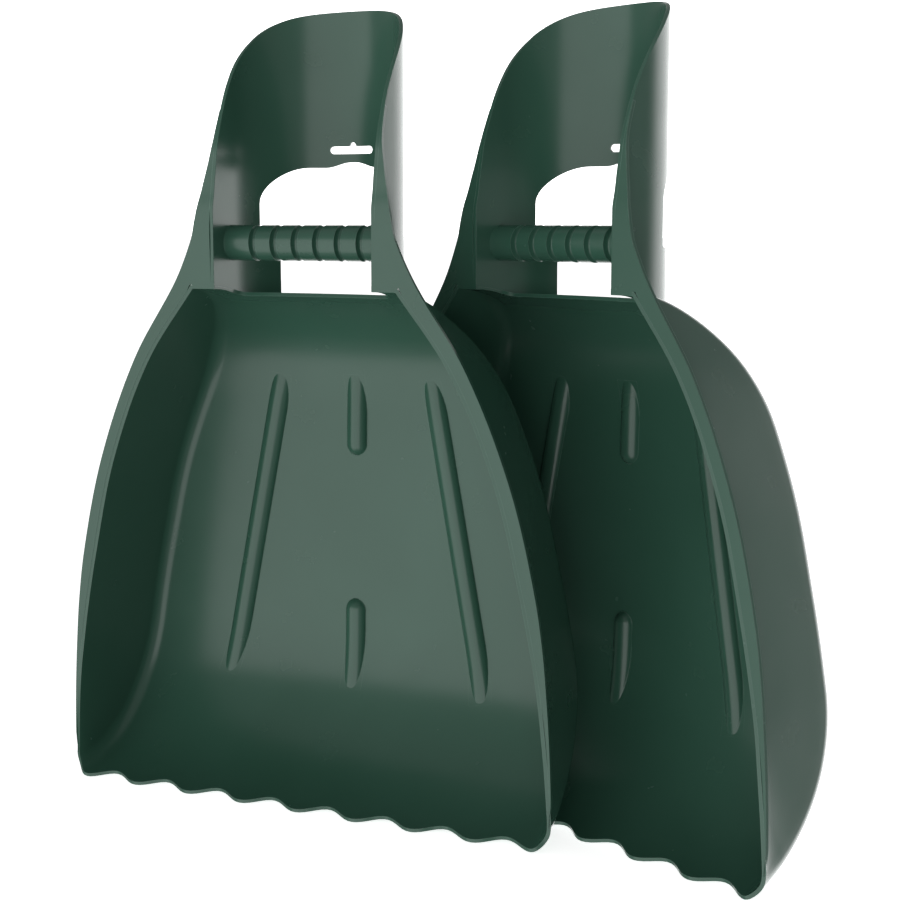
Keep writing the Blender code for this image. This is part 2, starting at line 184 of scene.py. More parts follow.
# A groove's share of its depth behind the bar, and how it spreads from the front
GROOVE_BEHIND = 0.22
GROOVE_SPREAD = 0.8
BAR_SIDES = 72
BAR_STEP = 0.3 * MM
BAR_END = 1.5 * MM
FLARE_REACH = 0.6 * MM

MOUNT_HEIGHT = 305 * MM


def smooth_through(points):
    """Return a smooth function of position through (position, value) points given in mm."""
    at = [p * MM for p, _ in points]
    values = [v * MM for _, v in points]
    slopes = [(values[i + 1] - values[i]) / (at[i + 1] - at[i]) for i in range(len(at) - 1)]
    tangents = [slopes[0]] + [(a + b) / 2 for a, b in zip(slopes, slopes[1:])] + [slopes[-1]]

    def value(x):
        x = min(max(x, at[0]), at[-1])
        i = 0
        while i < len(slopes) - 1 and x > at[i + 1]:
            i += 1
        width = at[i + 1] - at[i]
        t = (x - at[i]) / width
        rise = t * t * (3 - 2 * t)
        return (values[i] * (1 - rise) + values[i + 1] * rise
                + width * (t * (1 - t) ** 2 * tangents[i] + t * t * (t - 1) * tangents[i + 1]))

    return value


opening_half = smooth_through(RIM_OPENING)
outside_half = smooth_through(RIM_OUTSIDE)
front_sweep = smooth_through(FRONT_SWEEP)
guard_top = smooth_through(TOP_EDGE)


def mix(a, b, t):
    return a + (b - a) * t


def ease(t):
    t = min(1, max(0, t))
    return t * t * (3 - 2 * t)


# ---------------------------------------------------------------- mesh tools

class Skin:
    """Vertices merged by place, and faces that drop their repeated corners."""

    def __init__(self):
        self.bm = bmesh.new()
        self.at = {}

    def vert(self, co):
        key = tuple(round(c / MERGE_STEP) for c in co)
        if key not in self.at:
            self.at[key] = self.bm.verts.new(co)
        return self.at[key]

    def face(self, cos):
        corners = []
        for co in cos:
            v = self.vert(co)
            if v not in corners:
                corners.append(v)
        if len(corners) > 2:
            self.bm.faces.new(corners)


def object_from(name, bm):
    mesh = bpy.data.meshes.new(name)
    bm.to_mesh(mesh)
    bm.free()
    item = bpy.data.objects.new(name, mesh)
    bpy.context.scene.collection.objects.link(item)
    return item


def apply_modifiers(item):
    graph = bpy.context.evaluated_depsgraph_get()
    graph.update()
    mesh = bpy.data.meshes.new_from_object(item.evaluated_get(graph))
    old = item.data
    item.modifiers.clear()
    item.data = mesh
    bpy.data.meshes.remove(old)


def thicken(item):
    wall = item.modifiers.new("wall", "SOLIDIFY")
    wall.thickness = WALL
    wall.offset = -1
    wall.use_even_offset = True
    apply_modifiers(item)


def round_edges(item, rounded, width=EDGE_ROUND):
    """Bevel the sharp edges that rounded(a, b) picks, and shade the whole smooth."""
    bm = bmesh.new()
    bm.from_mesh(item.data)
    layer = bm.edges.layers.float.get("bevel_weight_edge")
    if layer is None:
        layer = bm.edges.layers.float.new("bevel_weight_edge")
    for edge in bm.edges:
        sharp = len(edge.link_faces) == 2 and edge.calc_face_angle() > SHARP_ANGLE
        edge[layer] = 1.0 if sharp and rounded(edge.verts[0].co, edge.verts[1].co) else 0.0
    bm.to_mesh(item.data)
    bm.free()
    bevel = item.modifiers.new("edge", "BEVEL")
    bevel.limit_method = "WEIGHT"
    bevel.width = width
    bevel.segments = EDGE_SEGMENTS
    bevel.use_clamp_overlap = True
    apply_modifiers(item)
    shade(item)


def shade(item):
    item.data.shade_smooth()
    item.data.set_sharp_from_angle(angle=SMOOTH_ANGLE)
    weighted = item.modifiers.new("normals", "WEIGHTED_NORMAL")
    weighted.keep_sharp = True


# ---------------------------------------------------------------- bowl

def floor_depths(across):
    crown = 1 - across * across
    return mix(CORNER_DEPTH, MID_DEPTH_TOP, crown), mix(CORNER_DEPTH, MID_DEPTH_BOTTOM, crown)


def bottom_bend(across):
    """Radius and centre (y, z) of the arc that brings the floor forward to the lip."""
    depth = floor_depths(across)[1]
    radius = depth / (1 - math.sin(LIP_SLOPE))
    return radius, depth - radius, LIP_HEIGHT + radius * math.cos(LIP_SLOPE)


def lip_y(x):
    """Depth of the lip's edge: bays between rounded tips, and square corners."""
    x = abs(x)
    half = SCALLOP_PITCH * SCALLOPS / 2
    if x > half:
        return mix(TIP_REACH, 0, ease((x - half) / (CORNER_START - half)))
    bay = (1 - math.cos(2 * math.pi * x / SCALLOP_PITCH)) / 2
    return mix(TIP_REACH, BAY_REACH, bay)


def notch_y(x):
    """Depth of the front edge of the bowl's ceiling, set back between the guard's sides."""
    x = abs(x)
    start = TROUGH_RADIUS - NOTCH_CORNER
    if x >= TROUGH_RADIUS - 0.001 * MM:
        return 0
    if x <= start:
        return NOTCH_DEPTH
    return NOTCH_DEPTH - NOTCH_CORNER + math.sqrt(NOTCH_CORNER ** 2 - (x - start) ** 2)


# Depths in mm of the ceiling's front rows; the last four follow the notch's round corners
CORNER_FROM = (NOTCH_DEPTH - NOTCH_CORNER) / MM
FRONT_ROWS = [0, 2, 4.5, 8, 12, 16, CORNER_FROM, CORNER_FROM + 2.2, CORNER_FROM + 4.2,
              NOTCH_DEPTH / MM]
ARC_ROWS = 16
FLOOR_ROWS = 16
BEND_ROWS = 44
WALL_COLUMNS = 8
WALL_SPREAD = 0.8
FILLET_COLUMNS = 9
OUTER_COLUMNS = 12
INNER_COLUMNS = 40
# Share of the flat floor's half-width that the columns behind the notch take up
NOTCH_SHARE = TROUGH_RADIUS / (opening_half(BOWL_TOP) - RIM_FILLET)
# The bowl's edges are rounded below LIP_ZONE, and above CEILING_ZONE where behind NOTCH_ZONE, as
# well as along the inside of the front rim
LIP_ZONE = 14 * MM
CEILING_ZONE = 290 * MM
NOTCH_ZONE = 3 * MM


class Row:
    """One section of the bowl, given by its kind and how far through that kind it is."""

    def __init__(self, kind, t):
        self.kind = kind
        self.t = t
        radius, centre_y, centre_z = bottom_bend(1)
        if kind == "bend":
            last = math.acos(-centre_y / (radius - CORNER_WALL))
            angle = last * t
            self.height = radius + centre_y / math.cos(angle)
            rim_z = centre_z - (radius - self.height) * math.sin(angle)
            foot_z = centre_z - radius * math.sin(angle)
            self.fillet = mix(SIDE_FILLET, LIP_FILLET, t)
        else:
            y, rim_z = self.straight(1)
            self.height = y
            foot_z = rim_z
            self.wide = opening_half(BOWL_TOP)
            self.fillet = SIDE_FILLET
            if kind != "floor":
                self.fillet = mix(RIM_FILLET, SIDE_FILLET, min(1, y / FILLET_GROWTH))
        self.side = opening_half(foot_z) - SIDE_DRAFT * self.height
        self.lean = SIDE_DRAFT
        if self.height:
            self.lean = (opening_half(rim_z) - self.side) / self.height

    def straight(self, across):
        """Depth and height of the ceiling's arc or the flat floor at a fraction across."""
        top, bottom = floor_depths(across)
        centre_z = bottom_bend(across)[2]
        if self.kind == "floor":
            return mix(top, bottom, self.t), mix(BOWL_TOP - top, centre_z, self.t)
        if self.kind == "front":
            angle = math.acos(self.t / top)
        else:
            angle = math.acos(NOTCH_DEPTH / top) * (1 - self.t)
        return top * math.cos(angle), BOWL_TOP - top + top * math.sin(angle)

    def point(self, x, rise, end_rise, notch=True):
        """Point on the inside at x across and a rise off the floor, along the side wall."""
        across = min(1, x / (self.wide if self.kind == "front" else self.side))
        if self.kind != "bend":
            y, z = self.straight(across)
            if self.kind == "front" and notch and notch_y(x) > y:
                y = notch_y(x)
                top = floor_depths(across)[0]
                z = BOWL_TOP - top + math.sqrt(top ** 2 - y ** 2)
            return x + self.lean * rise, y - rise, z
        radius, centre_y, centre_z = bottom_bend(across)
        end = math.acos((lip_y(x + self.lean * rise) - centre_y) / (radius - end_rise))
        angle = end * self.t
        reach = radius - rise
        return (x + self.lean * rise, centre_y + reach * math.cos(angle),
                centre_z - reach * math.sin(angle))

    def half(self):
        """Points from the rim to the middle."""
        points = []
        for i in range(WALL_COLUMNS):
            w = (i / WALL_COLUMNS) ** WALL_SPREAD
            rise = mix(self.height, min(self.height, self.fillet), w)
            points.append(self.point(self.side, rise, mix(CORNER_WALL, LIP_FILLET, w), False))
        for i in range(FILLET_COLUMNS):
            angle = math.pi / 2 * (1 - i / FILLET_COLUMNS)
            radius = min(self.fillet, self.height) if self.height else 0
            rise = radius * (1 - math.cos(angle))
            x = self.side - self.fillet + self.fillet * math.sin(angle)
            points.append(self.point(x, rise, LIP_FILLET * (1 - math.cos(angle)), False))
        flat = self.side - self.fillet
        notch = NOTCH_SHARE * flat
        if self.kind == "front":
            notch = TROUGH_RADIUS
        elif self.kind == "arc":
            notch = mix(TROUGH_RADIUS, notch, ease(self.t))
        for i in range(OUTER_COLUMNS):
            points.append(self.point(mix(flat, notch, i / OUTER_COLUMNS), 0, 0, False))
        for i in range(INNER_COLUMNS + 1):
            points.append(self.point(notch * (1 - i / INNER_COLUMNS), 0, 0, i > 0))
        return points


def bowl_rows():
    rows = [Row("front", y * MM) for y in FRONT_ROWS]
    rows += [Row("arc", i / ARC_ROWS) for i in range(1, ARC_ROWS)]
    rows += [Row("floor", i / FLOOR_ROWS) for i in range(FLOOR_ROWS)]
    rows += [Row("bend", i / BEND_ROWS) for i in range(BEND_ROWS + 1)]
    return rows


def make_bowl():
    skin = Skin()
    rows = [row.half() for row in bowl_rows()]
    notch_column = WALL_COLUMNS + FILLET_COLUMNS + OUTER_COLUMNS
    cut_rows = FRONT_ROWS.index(CORNER_FROM)
    for r, (upper, lower) in enumerate(zip(rows, rows[1:])):
        for c in range(len(upper) - 1):
            if c >= notch_column and r < cut_rows:
                continue
            quad = [upper[c], upper[c + 1], lower[c + 1], lower[c]]
            skin.face(quad)
            skin.face([(-x, y, z) for x, y, z in reversed(quad)])
    bowl = object_from("bowl", skin.bm)
    thicken(bowl)

    def rounded(a, b):
        z = (a.z + b.z) / 2
        y = (a.y + b.y) / 2
        x = abs(a.x + b.x) / 2
        if z < LIP_ZONE:
            return True
        if z > CEILING_ZONE and x < TROUGH_RADIUS - 0.2 * MM:
            return y > NOTCH_ZONE
        inside = x < opening_half(z) + 0.4 * MM
        return y < 0.3 * MM and inside and z < BOWL_TOP + 0.5 * MM

    round_edges(bowl, rounded)
    return bowl


def across_floor(x, z):
    """How far a place is from the middle of the floor to its side, as a fraction."""
    return min(1, abs(x) / (opening_half(z) - SIDE_DRAFT * CORNER_DEPTH))


def floor_y(x, z):
    """Depth of the bowl's floor at a place on it, without the fillets."""
    across = across_floor(x, z)
    top, bottom = floor_depths(across)
    radius, centre_y, centre_z = bottom_bend(across)
    if z > BOWL_TOP - top:
        return math.sqrt(top ** 2 - (z - BOWL_TOP + top) ** 2)
    if z > centre_z:
        return mix(bottom, top, (z - centre_z) / (BOWL_TOP - top - centre_z))
    return centre_y + math.sqrt(radius ** 2 - (centre_z - z) ** 2)


def floor_drop(x, z):
    """How far the floor has come forward from its flat part at a place near the ceiling or lip."""
    across = across_floor(x, z)
    top, bottom = floor_depths(across)
    low = bottom_bend(across)[2]
    flat = mix(bottom, top, (z - low) / (BOWL_TOP - top - low))
    return max(0, flat - floor_y(x, z))


def rib_height(rise, s, u, blunt_start):
    """Height of a rib of a given rise at s along it and u to its side: round across."""
    if rise <= 0:
        return -RIB_SINK
    away = math.hypot(min(0, s - RIB_HALF), u) if blunt_start else abs(u)
    half = RIB_HALF * (rise / RIB_HEIGHT) ** RIB_NARROWING
    across = max(0, 1 - (away / half) ** 2)
    return rise * across ** RIB_ROUNDNESS - RIB_SINK


def make_rib(x0, z0, x1, z1, both_fade):
    """A straight-crested rib that runs out where the floor comes forward to meet it."""
    length = math.hypot(x1 - x0, z1 - z0)
    along = ((x1 - x0) / length, (z1 - z0) / length)
    half = RIB_HALF + RIB_MARGIN
    start = -RIB_MARGIN
    ends = int((length - start) / RIB_STEP)
    bm = bmesh.new()
    top = []
    base = []
    for i in range(ends + 1):
        s = mix(start, length, i / ends)
        run = min(1, max(0, s / length))
        drop = floor_drop(mix(x0, x1, run), mix(z0, z1, run))
        end_drop = floor_drop(x1, z1)
        if both_fade and run < 0.5:
            end_drop = floor_drop(x0, z0)
        rise = RIB_HEIGHT * (1 - drop / end_drop)
        top.append([])
        base.append([])
        for j in range(RIB_SIDES + 1):
            u = mix(-half, half, j / RIB_SIDES)
            x = x0 + along[0] * s + u * along[1]
            z = z0 + along[1] * s - u * along[0]
            y = floor_y(x, z)
            height = rib_height(rise, s, u, not both_fade)
            top[-1].append(bm.verts.new((x, y - height, z)))
            base[-1].append(bm.verts.new((x, y + RIB_ROOT, z)))
    for i in range(ends):
        for j in range(RIB_SIDES):
            bm.faces.new((top[i][j], top[i][j + 1], top[i + 1][j + 1], top[i + 1][j]))
            bm.faces.new((base[i][j], base[i + 1][j], base[i + 1][j + 1], base[i][j + 1]))
    for i in range(ends):
        bm.faces.new((top[i][0], top[i + 1][0], base[i + 1][0], base[i][0]))
        bm.faces.new((top[i + 1][-1], top[i][-1], base[i][-1], base[i + 1][-1]))
    for j in range(RIB_SIDES):
        bm.faces.new((top[0][j + 1], top[0][j], base[0][j], base[0][j + 1]))
        bm.faces.new((top[-1][j], top[-1][j + 1], base[-1][j + 1], base[-1][j]))
    bmesh.ops.recalc_face_normals(bm, faces=bm.faces)
    rib = object_from("rib", bm)
    rib.data.shade_smooth()
    rib.data.set_sharp_from_angle(angle=RIB_SMOOTH_ANGLE)
    return rib


# ---------------------------------------------------------------- flange

def make_flange(side):
    """The flat flange outside the walls, from the lip's corner up to where it tapers out."""
    skin = Skin()
    shoulder = BOWL_TOP + WALL
    low = [mix(FLANGE_FOOT, shoulder, i / FLANGE_LOW_ROWS) for i in range(FLANGE_LOW_ROWS + 1)]
    high = [mix(shoulder, FLANGE_TOP, i / FLANGE_HIGH_ROWS) for i in range(FLANGE_HIGH_ROWS + 1)]

    def wall_outside(z):
        slope = (opening_half(z + MM) - opening_half(z - MM)) / (2 * MM)
        return opening_half(z) + WALL * math.hypot(1, slope) - FLANGE_LAP

    def outer(z):
        tuck = ease((FLANGE_MERGE - z) / (FLANGE_MERGE - FLANGE_FOOT))
        return outside_half(z) - FLANGE_TUCK * tuck

    def inner(z):
        return min(wall_outside(z), outer(z) - FLANGE_LEAST)

    def place(x, z):
        return side * x, front_sweep(z), z

    def strip(low_side, high_side, columns):
        rows = []
        for (xi, zi), (xo, zo) in zip(low_side, high_side):
            rows.append([place(mix(xi, xo, k / columns), mix(zi, zo, k / columns))
                         for k in range(columns + 1)])
        for below, above in zip(rows, rows[1:]):
            for k in range(columns):
                quad = [below[k], below[k + 1], above[k + 1], above[k]]
                skin.face(quad if side > 0 else quad[::-1])

    strip([(inner(z), z) for z in low], [(outer(z), z) for z in low], FLANGE_COLUMNS)
    trough = TROUGH_RADIUS + WALL - FLANGE_LAP
    edge = min(wall_outside(shoulder), outside_half(shoulder))

    def joint(z):
        rise = ease((z - shoulder) / (FLANGE_TOP - shoulder))
        return max(trough + 2 * FLANGE_LEAST, mix(edge, trough, rise))

    strip([(trough, z) for z in high], [(joint(z), z) for z in high], SHOULDER_COLUMNS)
    strip([(joint(z), z) for z in high],
          [(max(outside_half(z), joint(z) + FLANGE_LEAST), z) for z in high], FLANGE_COLUMNS)
    flange = object_from("flange", skin.bm)
    thicken(flange)

    def rounded(a, b):
        x = abs(a.x + b.x) / 2
        z = (a.z + b.z) / 2
        if abs(a.z - b.z) < 0.02 * MM:
            return False
        return x > outer(z) - 0.3 * MM

    round_edges(flange, rounded)
    return flange


# ---------------------------------------------------------------- arm guard

def trough_place(s, z):
    """Place on the trough's inside at a distance s round from the middle of its back."""
    if abs(s) <= TROUGH_QUARTER:
        angle = s / TROUGH_RADIUS
        return (TROUGH_RADIUS * math.sin(angle), TROUGH_CENTRE + TROUGH_RADIUS * math.cos(angle), z)
    return (math.copysign(TROUGH_RADIUS, s), TROUGH_CENTRE - (abs(s) - TROUGH_QUARTER), z)


def round_from_depth(y):
    """Distance round the trough of the place at a depth on its right-hand side."""
    if y < TROUGH_CENTRE:
        return TROUGH_REACH - y
    return TROUGH_RADIUS * math.acos(min(1, (y - TROUGH_CENTRE) / TROUGH_RADIUS))


def round_at(x):
    """Distance round the trough of a place x across its back."""
    return TROUGH_RADIUS * math.asin(x / TROUGH_RADIUS)


def guard_foot(s):
    """Height where the guard enters the outside of the bowl's ceiling."""
    x, y, _ = trough_place(s, 0)
    z = FOOT_GUESS
    for _ in range(FOOT_TURNS):
        top = floor_depths(across_floor(x, z))[0]
        reach = top + WALL * GUARD_FOOT_SINK
        z = BOWL_TOP - top + math.sqrt(max(0, reach ** 2 - y ** 2))
    return z


def spaced(points, step):
    """Points along an open polyline at about equal steps, its corners kept."""
    out = []
    for a, b in zip(points, points[1:]):
        n = max(1, round(math.dist(a, b) / step))
        out += [(mix(a[0], b[0], i / n), mix(a[1], b[1], i / n)) for i in range(n)]
    return out + points[-1:]


def arc(cx, cz, radius, start, end, steps):
    out = []
    for i in range(steps + 1):
        angle = math.radians(mix(start, end, i / steps))
        out.append((cx + radius * math.cos(angle), cz + radius * math.sin(angle)))
    return out


def guard_outline():
    """Outline in (distance round, height): right foot, up the front edge, over, and the window."""
    foot_steps, front_steps, sweep_steps, top_steps = 30, 21, 69, 55
    right = []
    inner = round_at(WINDOW_LOWER)
    for i in range(foot_steps + 1):
        s = mix(inner, TROUGH_REACH, i / foot_steps)
        right.append((s, guard_foot(s)))
    front_foot = right[-1][1]
    for i in range(1, front_steps + 1):
        right.append((TROUGH_REACH, mix(front_foot, SWEEP_START, i / front_steps)))
    for i in range(1, sweep_steps + 1):
        z = mix(SWEEP_START, SWEEP_END, i / sweep_steps)
        right.append((round_from_depth(front_sweep(z)), z))
    last = right[-1][0]
    for i in range(1, top_steps + 1):
        s = last * (1 - i / top_steps)
        right.append((s, guard_top(trough_place(s, 0)[1])))
    outline = right + [(-s, z) for s, z in reversed(right[:-1])]
    # the window's right half, from its foot up to the middle of its top
    window = [(WINDOW_LOWER, guard_foot(inner)), (WINDOW_LOWER, GRIP_HEIGHT - WINDOW_STEP)]
    window += arc(WINDOW_UPPER - WINDOW_STEP, GRIP_HEIGHT, WINDOW_STEP, -60, 0, 3)
    window += arc(WINDOW_UPPER - WINDOW_CORNER, WINDOW_TOP - WINDOW_CORNER, WINDOW_CORNER, 0, 90, 16)
    window.append((BUMP_HALF + BUMP_FLAT, WINDOW_TOP))
    for i in range(BUMP_STEPS + 1):
        t = i / BUMP_STEPS
        window.append((BUMP_HALF * (1 - t), WINDOW_TOP + BUMP_RISE * ease(t * BUMP_STEEPNESS)))
    window = spaced([(round_at(x), z) for x, z in window], WINDOW_SPACING)
    left = [(-s, z) for s, z in window]
    return outline + left[1:] + window[-2:0:-1]


def slot_outline():
    """Outline of the hanging slot in (distance round, height), with its small raised middle."""
    radius = (SLOT_HIGH - SLOT_LOW) / 2
    half = arc(SLOT_HALF - radius, SLOT_LOW + radius, radius, -90, 90, 12)
    half.append((SLOT_BUMP_HALF + SLOT_BUMP_FOOT, SLOT_HIGH))
    half += [(SLOT_BUMP_HALF * math.cos(math.radians(a)),
              SLOT_HIGH + (SLOT_BUMP - SLOT_HIGH) * math.sin(math.radians(a)))
             for a in (12, 30, 50, 70)]
    outline = half + [(0, SLOT_BUMP)] + [(-x, z) for x, z in reversed(half)] + half[:1]
    return spaced([(round_at(x), z) for x, z in outline], SLOT_SPACING)[:-1]


def inside_outline(point, outline):
    x, y = point
    hit = False
    for (x0, y0), (x1, y1) in zip(outline, outline[1:] + outline[:1]):
        if (y0 > y) != (y1 > y) and x < (x1 - x0) * (y - y0) / (y1 - y0) + x0:
            hit = not hit
    return hit


def far_from(point, outline, distance):
    x, y = point
    for a, b in outline:
        if abs(a - x) < distance and abs(b - y) < distance:
            return False
    return True


def make_guard():
    outline = guard_outline()
    slot = slot_outline()
    points = [Vector(p) for p in outline + slot]
    loops = [list(range(len(outline))), list(range(len(outline), len(points)))]
    for i in range(1, GUARD_COLUMNS):
        for j in range(1, GUARD_ROWS):
            p = (mix(-TROUGH_REACH, TROUGH_REACH, i / GUARD_COLUMNS),
                 mix(GUARD_LOW, GUARD_HIGH, j / GUARD_ROWS))
            if (inside_outline(p, outline) and not inside_outline(p, slot)
                    and far_from(p, outline, OUTLINE_CLEARANCE)
                    and far_from(p, slot, SLOT_CLEARANCE)):
                points.append(Vector(p))
    edges = [(loop[i], loop[(i + 1) % len(loop)]) for loop in loops for i in range(len(loop))]
    verts, _, faces, _, _, _ = delaunay_2d_cdt(points, edges, [], 0, 1e-6)
    bm = bmesh.new()
    made = [bm.verts.new(trough_place(v.x, v.y)) for v in verts]
    for face in faces:
        middle = sum((verts[i] for i in face), Vector((0, 0))) / len(face)
        if inside_outline(middle, outline) and not inside_outline(middle, slot):
            bm.faces.new([made[i] for i in face])
    loose = [v for v in bm.verts if not v.link_faces]
    bmesh.ops.delete(bm, geom=loose, context="VERTS")
    bm.normal_update()
    centre = Vector((0, TROUGH_CENTRE, 0))
    for face in bm.faces:
        middle = face.calc_center_median()
        inward = centre - middle
        inward.z = 0
        if face.normal.dot(inward) < 0:
            face.normal_flip()
    guard = object_from("guard", bm)
    thicken(guard)

    def rounded(a, b):
        z = (a.z + b.z) / 2
        x = abs(a.x + b.x) / 2
        y = (a.y + b.y) / 2
        if z < CEILING_CLEAR:
            return False
        beside_flange = z < FLANGE_WIDE_TO and x > TROUGH_RADIUS + WALL / 2
        return not (beside_flange and y < front_sweep(z) + 0.5 * MM)

    round_edges(guard, rounded, GUARD_EDGE_ROUND)
    return guard


# ---------------------------------------------------------------- grip bar

def make_bar():
    """Round bar with soft grooves, its ends flared into the guard's sides."""
    end = TROUGH_RADIUS + WALL / 2
    stops = [-end, -end + BAR_END]
    x = -end + BAR_END + 0.5 * MM
    while x < end - BAR_END - 0.1 * MM:
        stops.append(x)
        x += BAR_STEP
    stops += [end - BAR_END, end]
    bm = bmesh.new()
    rings = []
    for x in stops:
        cut = 0
        for i in range(GROOVES):
            away = abs(x - GROOVE_FIRST - i * GROOVE_PITCH) / GROOVE_HALF
            if away < 1:
                cut = GROOVE_DEPTH * (1 - away ** 4)
        wall = TROUGH_RADIUS - abs(x)
        flare = max(0, FLARE_REACH - max(0, wall)) ** 2 / (2 * FLARE_REACH)
        ring = []
        for k in range(BAR_SIDES):
            angle = 2 * math.pi * k / BAR_SIDES
            share = mix(GROOVE_BEHIND, 1, max(0, -math.cos(angle)) ** GROOVE_SPREAD)
            radius = GRIP_RADIUS + flare - cut * share
            ring.append(bm.verts.new((x, GRIP_DEPTH + radius * math.cos(angle),
                                      GRIP_HEIGHT + radius * math.sin(angle))))
        rings.append(ring)
    for a, b in zip(rings, rings[1:]):
        for k in range(BAR_SIDES):
            bm.faces.new((a[k], a[(k + 1) % BAR_SIDES], b[(k + 1) % BAR_SIDES], b[k]))
    bm.faces.new(rings[0][::-1])
    bm.faces.new(rings[-1])
    bmesh.ops.recalc_face_normals(bm, faces=bm.faces)
    bar = object_from("bar", bm)
    shade(bar)
    return bar


# ---------------------------------------------------------------- material

def add_math(tree, operation, a, b=None, clamp=False):
    """Add a Math node on two values or sockets, and return its output."""
    node = tree.nodes.new("ShaderNodeMath")
    node.operation = operation
    node.use_clamp = clamp
    for socket, value in zip(node.inputs, (a, b)):
        if isinstance(value, (int, float)):
            socket.default_value = value
        elif value is not None:
            tree.links.new(value, socket)
    return node.outputs["Value"]


BASE_DARK = (0.029, 0.086, 0.058, 1.0)
BASE_LIGHT = (0.035, 0.098, 0.068, 1.0)
# Painted highlight: the lighter colour laid on the rounded edges
PAINTED_EDGE_HIGHLIGHT = (0.085, 0.170, 0.130, 1.0)
EDGE_REACH = 0.9 * MM
EDGE_SAMPLES = 8
FLUSH_FACING = 0.999
# The middle of the noise that a ramp spreads over its whole range
NOISE_SPAN = (0.3, 0.7)
# Noise scales, in waves to the metre
FLOW_SCALE = 9.0
GLOSS_SCALE = 45.0
# The next scale sets the patches that break up the painted edge highlight
HIGHLIGHT_PATCH_SCALE = 160.0
GRAIN_SCALE = 1400.0
ROUGHNESS = (0.22, 0.28)
# Strength of the painted edge highlight, its patchy spread, and the roughness added under it
EDGE_HIGHLIGHT_GAIN = 5.0
HIGHLIGHT_PATCHES = (0.25, 0.75)
HIGHLIGHT_ROUGHNESS = 0.12
GRAIN_STRENGTH = 0.05
GRAIN_DEPTH = 0.2 * MM
# Seed of the first hand's noise, and the step to the second hand's
FIRST_SEED = 3.1
SEED_STEP = 4.7


def moulded_green(name, seed, front):
    """Dark green satin polypropylene: faint flow tone, a fine grain and slightly uneven gloss."""
    material = bpy.data.materials.new(name)
    material.use_nodes = True
    tree = material.node_tree
    nodes = tree.nodes
    links = tree.links
    shader = nodes["Principled BSDF"]
    shader.inputs["Metallic"].default_value = 0.0
    shader.inputs["IOR"].default_value = 1.50
    shader.inputs["Coat Weight"].default_value = 0.0
    place = nodes.new("ShaderNodeTexCoord")

    def noise(scale, detail, distortion=0.0):
        node = nodes.new("ShaderNodeTexNoise")
        node.noise_dimensions = "4D"
        node.inputs["W"].default_value = seed
        node.inputs["Scale"].default_value = scale
        node.inputs["Detail"].default_value = detail
        node.inputs["Distortion"].default_value = distortion
        links.new(place.outputs["Object"], node.inputs["Vector"])
        return node.outputs["Fac"]

    def ramp(source, low, high):
        node = nodes.new("ShaderNodeMapRange")
        node.inputs["From Min"].default_value = NOISE_SPAN[0]
        node.inputs["From Max"].default_value = NOISE_SPAN[1]
        node.inputs["To Min"].default_value = low
        node.inputs["To Max"].default_value = high
        links.new(source, node.inputs["Value"])
        return node.outputs["Result"]

    tone = nodes.new("ShaderNodeMix")
    tone.data_type = "RGBA"
    tone.inputs["A"].default_value = BASE_DARK
    tone.inputs["B"].default_value = BASE_LIGHT
    links.new(ramp(noise(FLOW_SCALE, 3.0, 0.6), 0.0, 1.0), tone.inputs["Factor"])

    def clamped(operation, a, b):
        return add_math(tree, operation, a, b, clamp=True)

    # painted edge highlight where the rounded normal leaves the true one, broken up by a patchy
    # noise
    soft = nodes.new("ShaderNodeBevel")
    soft.samples = EDGE_SAMPLES
    soft.inputs["Radius"].default_value = EDGE_REACH
    true = nodes.new("ShaderNodeNewGeometry")
    lean = nodes.new("ShaderNodeVectorMath")
    lean.operation = "DOT_PRODUCT"
    links.new(soft.outputs["Normal"], lean.inputs[0])
    links.new(true.outputs["Normal"], lean.inputs[1])
    edge = clamped("MULTIPLY", clamped("SUBTRACT", 1.0, lean.outputs["Value"]), EDGE_HIGHLIGHT_GAIN)
    edge_highlight = clamped("MULTIPLY", edge, ramp(noise(HIGHLIGHT_PATCH_SCALE, 3.0), *HIGHLIGHT_PATCHES))
    # no painted edge highlight on the flat front faces, where the flange lies flush with the walls
    own = nodes.new("ShaderNodeVectorTransform")
    own.vector_type = "NORMAL"
    own.convert_from = "WORLD"
    own.convert_to = "OBJECT"
    links.new(true.outputs["Normal"], own.inputs["Vector"])
    facing = nodes.new("ShaderNodeVectorMath")
    facing.operation = "DOT_PRODUCT"
    facing.inputs[1].default_value = front
    links.new(own.outputs["Vector"], facing.inputs[0])
    flush = clamped("GREATER_THAN", facing.outputs["Value"], FLUSH_FACING)
    edge_highlight = clamped("SUBTRACT", edge_highlight, flush)
    # The painted edge highlight, mixed into the base colour
    highlighted = nodes.new("ShaderNodeMix")
    highlighted.data_type = "RGBA"
    highlighted.inputs["B"].default_value = PAINTED_EDGE_HIGHLIGHT
    links.new(edge_highlight, highlighted.inputs["Factor"])
    links.new(tone.outputs["Result"], highlighted.inputs["A"])
    links.new(highlighted.outputs["Result"], shader.inputs["Base Color"])
    gloss = clamped("ADD", ramp(noise(GLOSS_SCALE, 4.0), *ROUGHNESS),
                    clamped("MULTIPLY", edge_highlight, HIGHLIGHT_ROUGHNESS))
    links.new(gloss, shader.inputs["Roughness"])

    grain = nodes.new("ShaderNodeBump")
    grain.inputs["Strength"].default_value = GRAIN_STRENGTH
    grain.inputs["Distance"].default_value = GRAIN_DEPTH
    links.new(noise(GRAIN_SCALE, 2.0), grain.inputs["Height"])
    links.new(grain.outputs["Normal"], shader.inputs["Normal"])
    return material


# ---------------------------------------------------------------- the pair

def join(items):
    """Put the meshes of several objects into the first one."""
    bm = bmesh.new()
    for item in items:
        bm.from_mesh(item.data)
    mesh = bpy.data.meshes.new(items[0].name)
    bm.to_mesh(mesh)
    bm.free()
    first = items[0]
    for item in items[1:]:
        bpy.data.objects.remove(item)
    first.data = mesh
    return first


